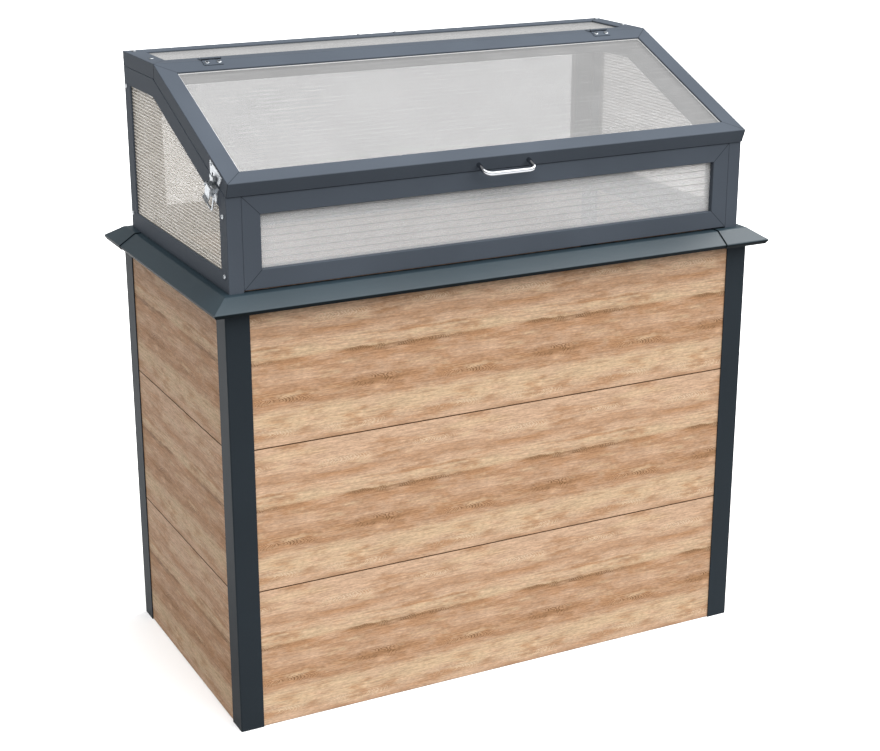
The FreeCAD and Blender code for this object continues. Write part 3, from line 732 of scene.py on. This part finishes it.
def turned_head(name, radius, height):
    """A pan head standing on the XY plane, with a rounded rim."""
    bpy.ops.object.select_all(action="DESELECT")
    middle = (0, 0, height / 2)
    bpy.ops.mesh.primitive_cylinder_add(vertices=HEAD_SIDES, radius=radius, depth=height, location=middle)
    head = bpy.context.active_object
    head.name = name
    bpy.ops.object.mode_set(mode="EDIT")
    bpy.ops.mesh.select_mode(type="FACE")
    bpy.ops.mesh.select_all(action="DESELECT")
    bpy.ops.object.mode_set(mode="OBJECT")
    for face in head.data.polygons:
        face.select = face.normal.z > 0.9
    bpy.ops.object.mode_set(mode="EDIT")
    bpy.ops.mesh.bevel(offset=height * HEAD_ROUNDING, segments=4, affect="EDGES")
    bpy.ops.object.mode_set(mode="OBJECT")
    return head


def screw_head(name, radius, height, hole_sides=6, hole_floor=0.4):
    """A head with a hole cut from its top down to a share of its height."""
    head = turned_head(name, radius, height)
    bpy.ops.mesh.primitive_cylinder_add(
        vertices=hole_sides,
        radius=radius * HOLE_SHARE,
        depth=2 * height,
        location=(0, 0, height * (hole_floor + 1)),
    )
    socket = bpy.context.active_object
    cut = head.modifiers.new("socket", "BOOLEAN")
    cut.object = socket
    cut.operation = "DIFFERENCE"
    bpy.context.view_layer.objects.active = head
    bpy.ops.object.modifier_apply(modifier="socket")
    bpy.data.objects.remove(socket)
    bpy.ops.object.select_all(action="DESELECT")
    head.select_set(True)
    bpy.ops.object.transform_apply(location=True, rotation=True, scale=True)
    bpy.ops.object.shade_smooth_by_angle(angle=SMOOTH_ANGLE)
    return head


# %% Copies on their seats
def set_screws(name, body, head, seats):
    """Copies of a head on seats given as (place, outward direction), joined into one piece."""
    copies = []
    for place, outward in seats:
        copy = head.copy()
        copy.data = head.data.copy()
        bpy.context.scene.collection.objects.link(copy)
        spare = DEPTH if abs(outward.dot(DEPTH)) < 0.9 else ACROSS
        x_axis = outward.cross(spare).normalized()
        set_on(copy, place, x_axis, outward.cross(x_axis))
        copies.append(copy)
    bpy.ops.object.select_all(action="DESELECT")
    for copy in copies:
        copy.select_set(True)
    bpy.context.view_layer.objects.active = copies[0]
    bpy.ops.object.join()
    joined = copies[0]
    joined.name = name
    joined.data.materials.append(zinc)
    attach(joined, body)
    print(name, len(seats))


# %% Frame screws
side_left, side_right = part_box("left_front_stile")[0].x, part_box("right_front_stile")[1].x
frame_front, frame_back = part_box("left_front_stile")[0].y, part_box("left_back_stile")[1].y
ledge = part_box("left_bottom_rail")[0].z
front_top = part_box("left_front_stile")[1].z
back_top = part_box("left_back_stile")[1].z
top_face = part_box("top_frame_rails")[1].z
FRONT_INSET, FRONT_UP, FRONT_DOWN = 16 * MM, 26 * MM, 33 * MM
BACK_INSET, BACK_UP, BACK_DOWN = 10 * MM, 29 * MM, 35 * MM
END_INSET = 14.5 * MM
END_ROWS = (18 * MM, 117 * MM)
MIDDLE_INSET = 9 * MM
MIDDLE_OFFSET = 38 * MM

frame_head = screw_head("frame_head", 4 * MM, 2.0 * MM)
stile_seats = []
for x, outward in ((side_left, -ACROSS), (side_right, ACROSS)):
    for y, z in (
        (frame_front + FRONT_INSET, ledge + FRONT_UP),
        (frame_front + FRONT_INSET, front_top - FRONT_DOWN),
        (frame_back - BACK_INSET, ledge + BACK_UP),
        (frame_back - BACK_INSET, back_top - BACK_DOWN),
    ):
        stile_seats.append((Vector((x, y, z)), outward))
set_screws("side_frame_screws", "bed_and_frame", frame_head, stile_seats)
top_seats = []
for x in (side_left + END_INSET, side_right - END_INSET):
    for row in END_ROWS:
        top_seats.append((Vector((x, frame_back - row, top_face)), UP))
for x in (-MIDDLE_OFFSET, MIDDLE_OFFSET):
    top_seats.append((Vector((x, frame_back - MIDDLE_INSET, top_face)), UP))
set_screws("top_frame_screws", "bed_and_frame", frame_head, top_seats)
bpy.data.objects.remove(frame_head)

# %% Hinge rivets
LEAF_LENGTH = 36 * MM
LEAF_WIDTH = 16 * MM
LEAF_SHEET = 1.2 * MM
RIVET_OFFSET = 11 * MM
rivet_head = screw_head("rivet_head", 4.2 * MM, 1.6 * MM, hole_sides=24, hole_floor=-0.2)
leaf_end = reach("hinge_lid_leaves", down_slope)[1]
leaf_left, leaf_right = reach("hinge_lid_leaves", ACROSS)
lid_face = reach("lid_nose_rail", lid_normal)[1]
leaf_middle = down_slope * (leaf_end - LEAF_WIDTH / 2) + lid_normal * (lid_face + LEAF_SHEET)
rivet_seats = []
for middle in (leaf_left + LEAF_LENGTH / 2, leaf_right - LEAF_LENGTH / 2):
    for offset in (-RIVET_OFFSET, RIVET_OFFSET):
        rivet_seats.append((leaf_middle + ACROSS * (middle + offset), lid_normal))
set_screws("hinge_rivets", "lid", rivet_head, rivet_seats)
bpy.data.objects.remove(rivet_head)

# %% Catch screws
CATCH_HOLE_SPREAD = 21 * MM
CATCH_HOLE_DROP = 4 * MM
CATCH_SHEET = 1.5 * MM
catch_head = screw_head("catch_head", 3.2 * MM, 1.6 * MM)
catch_middle = sum(reach("latch_catches", down_slope)) / 2
catch_top = reach("latch_catches", lid_normal)[1]
catch_seats = []
for x, outward in ((side_left - CATCH_SHEET, -ACROSS), (side_right + CATCH_SHEET, ACROSS)):
    for offset in (-CATCH_HOLE_SPREAD, CATCH_HOLE_SPREAD):
        place = down_slope * (catch_middle + offset) + lid_normal * (catch_top - CATCH_HOLE_DROP)
        catch_seats.append((place + ACROSS * x, outward))
set_screws("catch_screws", "lid", catch_head, catch_seats)
bpy.data.objects.remove(catch_head)

# %% [markdown]
# The studio is a wide pale floor, an even white sky, one large soft light overhead and a smaller one
# high on the right, which shows as a sheen on the rim. The floor is lit until it reads as white, so
# hardly any shadow shows. It is kept out of the bounced light, because a bright floor would fill the
# shaded side and the underside of the rim. The sky lights the scene weakly, but is seen as white.

# %% Floor and sky
FLOOR_SIZE = 60
SKY_LIGHT = 0.43
bpy.ops.object.select_all(action="DESELECT")
bpy.ops.mesh.primitive_plane_add(size=FLOOR_SIZE, location=(0, 0, 0))
floor = bpy.context.active_object
floor.name = "studio_floor"
material, tree, shader, place = new_finish("floor_paper")
grain = noise(tree, place, (3.0, 3.0, 3.0))
fill(tree, shader, {
    "Base Color": ramp(tree, grain, [(0.0, "f8f8f8"), (1.0, "fcfcfc")]),
    "Roughness": 0.9,
    "Specular IOR Level": 0.1,
})
floor.data.materials.append(material)
floor.visible_diffuse = False

world = bpy.data.worlds.new("studio_sky")
world.use_nodes = True
sky_tree = world.node_tree
seen = add(sky_tree, "ShaderNodeLightPath", {}).outputs["Is Camera Ray"]
fill(sky_tree, sky_tree.nodes["Background"], {
    "Color": (1.0, 1.0, 1.0, 1.0),
    "Strength": calc(sky_tree, "MULTIPLY_ADD", seen, 1.0 - SKY_LIGHT, SKY_LIGHT),
})
bpy.context.scene.world = world
print("floor", FLOOR_SIZE, "sky", SKY_LIGHT)

# %% Lights
def soft_sun(name, direction, spread, strength):
    """An even light from one side of the sky, as wide as a spread in degrees."""
    lamp = bpy.data.lights.new(name, "SUN")
    lamp.angle = math.radians(spread)
    lamp.energy = strength
    stand = bpy.data.objects.new(name, lamp)
    stand.rotation_mode = "QUATERNION"
    stand.rotation_quaternion = (-Vector(direction)).to_track_quat("-Z", "Y")
    bpy.context.scene.collection.objects.link(stand)
    print(name, spread, "degrees wide, strength", strength)


soft_sun("overhead_light", direction=(0.15, -0.52, 1.0), spread=88, strength=5.4)
soft_sun("side_light", direction=(0.80, 0.08, 0.60), spread=40, strength=2.8)
bpy.context.scene.cycles.transparent_max_bounces = 32
bpy.context.scene.view_settings.view_transform = "Standard"

# %% [markdown]
# The camera looks down on the front left corner. Its direction, distance and lens are those that put
# the model's corners nearest to the same corners in the photograph.

# %% Camera
VIEW_AZIMUTH = math.radians(-27.0)
VIEW_ELEVATION = math.radians(18.81)
VIEW_DISTANCE = 3.340
VIEW_TARGET = Vector((0.0027, -0.016, 0.4993))
VIEW_LENS = 72.41
SENSOR_WIDTH = 36.0
back = Vector((
    math.sin(VIEW_AZIMUTH) * math.cos(VIEW_ELEVATION),
    -math.cos(VIEW_AZIMUTH) * math.cos(VIEW_ELEVATION),
    math.sin(VIEW_ELEVATION),
))
lens = bpy.data.cameras.new("camera")
lens.lens = VIEW_LENS
lens.sensor_width = SENSOR_WIDTH
camera = bpy.data.objects.new("camera", lens)
camera.location = VIEW_TARGET + back * VIEW_DISTANCE
camera.rotation_mode = "QUATERNION"
camera.rotation_quaternion = (-back).to_track_quat("-Z", "Y")
bpy.context.scene.collection.objects.link(camera)
bpy.context.scene.camera = camera
print("camera at", [round(v, 3) for v in camera.location])
